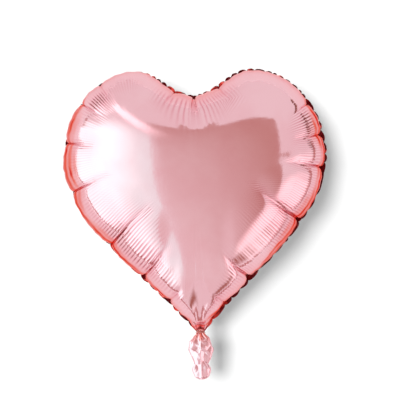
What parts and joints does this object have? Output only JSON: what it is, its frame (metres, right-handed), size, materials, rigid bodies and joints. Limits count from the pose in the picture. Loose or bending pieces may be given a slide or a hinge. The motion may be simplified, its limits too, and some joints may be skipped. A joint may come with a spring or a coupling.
{
  "type": "heart foil balloon",
  "caption": "Inflated heart-shaped foil balloon with a crimped seam, tied neck, inner filling valve and a loose tail that swings and folds.",
  "frame": {"origin": "middle of the small flat under the rear film, where the balloon rests", "axes": "+Y up the heart from its neck to its cleft, +Z out of the front film, +X to the right when looking at the front film"},
  "size_m": [0.3804, 0.4491, 0.1652],
  "materials": {
    "front_foil": "mirror-bright rose pink metallised film",
    "rear_foil": "mirror-bright rose pink metallised film",
    "tail_foil": "crumpled rose pink metallised film",
    "seal_film": "fused metallised film, dark where it is crimped",
    "valve_film": "clear unmetallised film",
    "thread": "twisted copper-coloured thread"
  },
  "bodies": {
    "balloon": {"front_panel": "front_foil", "rear_panel": "rear_foil", "edge_seal": "seal_film", "valve_front_film": "valve_film", "valve_rear_film": "valve_film"},
    "front_flap": {"valve_front_flap": "valve_film"},
    "rear_flap": {"valve_rear_flap": "valve_film"},
    "neck": {"neck_front_ply": "tail_foil", "neck_rear_ply": "tail_foil", "neck_valve_plies": "valve_film", "neck_tie": "thread", "tie_knot": "thread"},
    "tail": {"tail_front_ply": "tail_foil", "tail_rear_ply": "tail_foil", "tail_valve_front_ply": "valve_film", "tail_valve_rear_ply": "valve_film"},
    "tail_tip": {"tail_tip_front_ply": "tail_foil", "tail_tip_rear_ply": "tail_foil"}
  },
  "joints": [
    {"name": "valve_front_open", "type": "hinge", "parent": "balloon", "child": "front_flap", "pos_m": [0, -0.2047, 0.08235], "axis": [1, 0, 0], "range_deg": [0, 8]},
    {"name": "valve_rear_open", "type": "hinge", "parent": "balloon", "child": "rear_flap", "pos_m": [0, -0.2047, 0.08165], "axis": [1, 0, 0], "range_deg": [-8, 0]},
    {"name": "tail_sway", "type": "hinge", "parent": "balloon", "child": "neck", "pos_m": [0, -0.2203, 0.082], "axis": [0, 0, 1], "range_deg": [-35, 35]},
    {"name": "tail_nod", "type": "hinge", "parent": "neck", "child": "tail", "pos_m": [0, -0.2248, 0.082], "axis": [-1, 0, 0], "range_deg": [-85, 85]},
    {"name": "tail_fold", "type": "hinge", "parent": "tail", "child": "tail_tip", "pos_m": [0, -0.27, 0.082], "axis": [-1, 0, 0], "range_deg": [-120, 120]}
  ]
}
